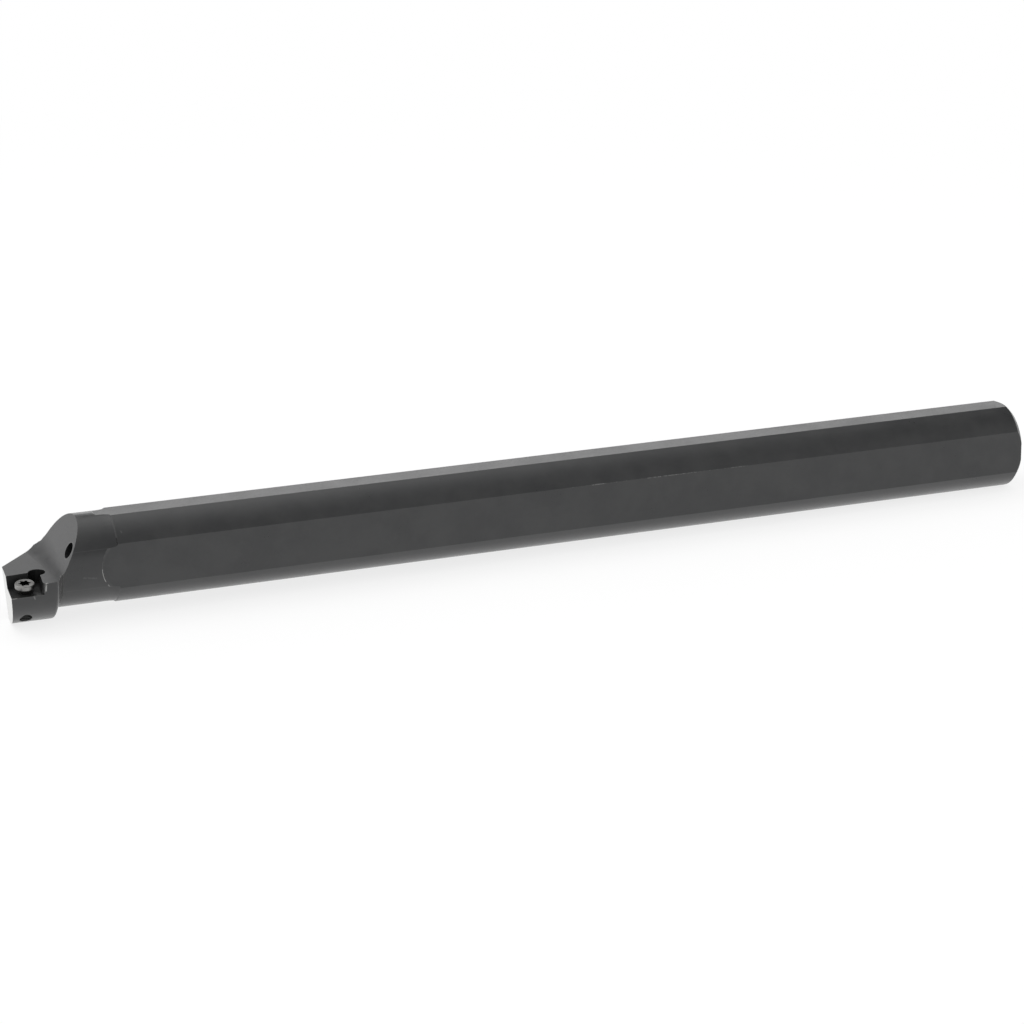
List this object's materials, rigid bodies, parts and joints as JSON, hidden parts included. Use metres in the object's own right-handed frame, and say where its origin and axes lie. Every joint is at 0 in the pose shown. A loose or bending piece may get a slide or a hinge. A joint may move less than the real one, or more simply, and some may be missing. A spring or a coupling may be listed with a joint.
{
  "type": "boring bar",
  "caption": "Round steel boring bar with three lengthwise flats, an offset head with an empty insert seat and its clamping screw, and a coolant way.",
  "frame": {"origin": "centre of the rear face, on the shank's axis", "axes": "+X points out of the rear end along the shank's axis, with the head at -X; -Y is the side that cuts; +Z is above the insert's rake face"},
  "size_m": [0.3038, 0.0284, 0.0271],
  "materials": {
    "blackened_steel": "turned and milled steel with a black oxide finish, satin, paler on edges, flats and the front face",
    "bright_steel": "plain hardened steel, satin silver"
  },
  "bodies": {
    "bar": {"bar_body": "blackened_steel"},
    "screw": {"insert_screw": "bright_steel"}
  },
  "joints": [
    {"name": "screw_travel", "type": "slide", "parent": "bar", "child": "screw", "axis": [0, -0.1357, 0.9907], "range_m": [0, 0.0065]}
  ]
}
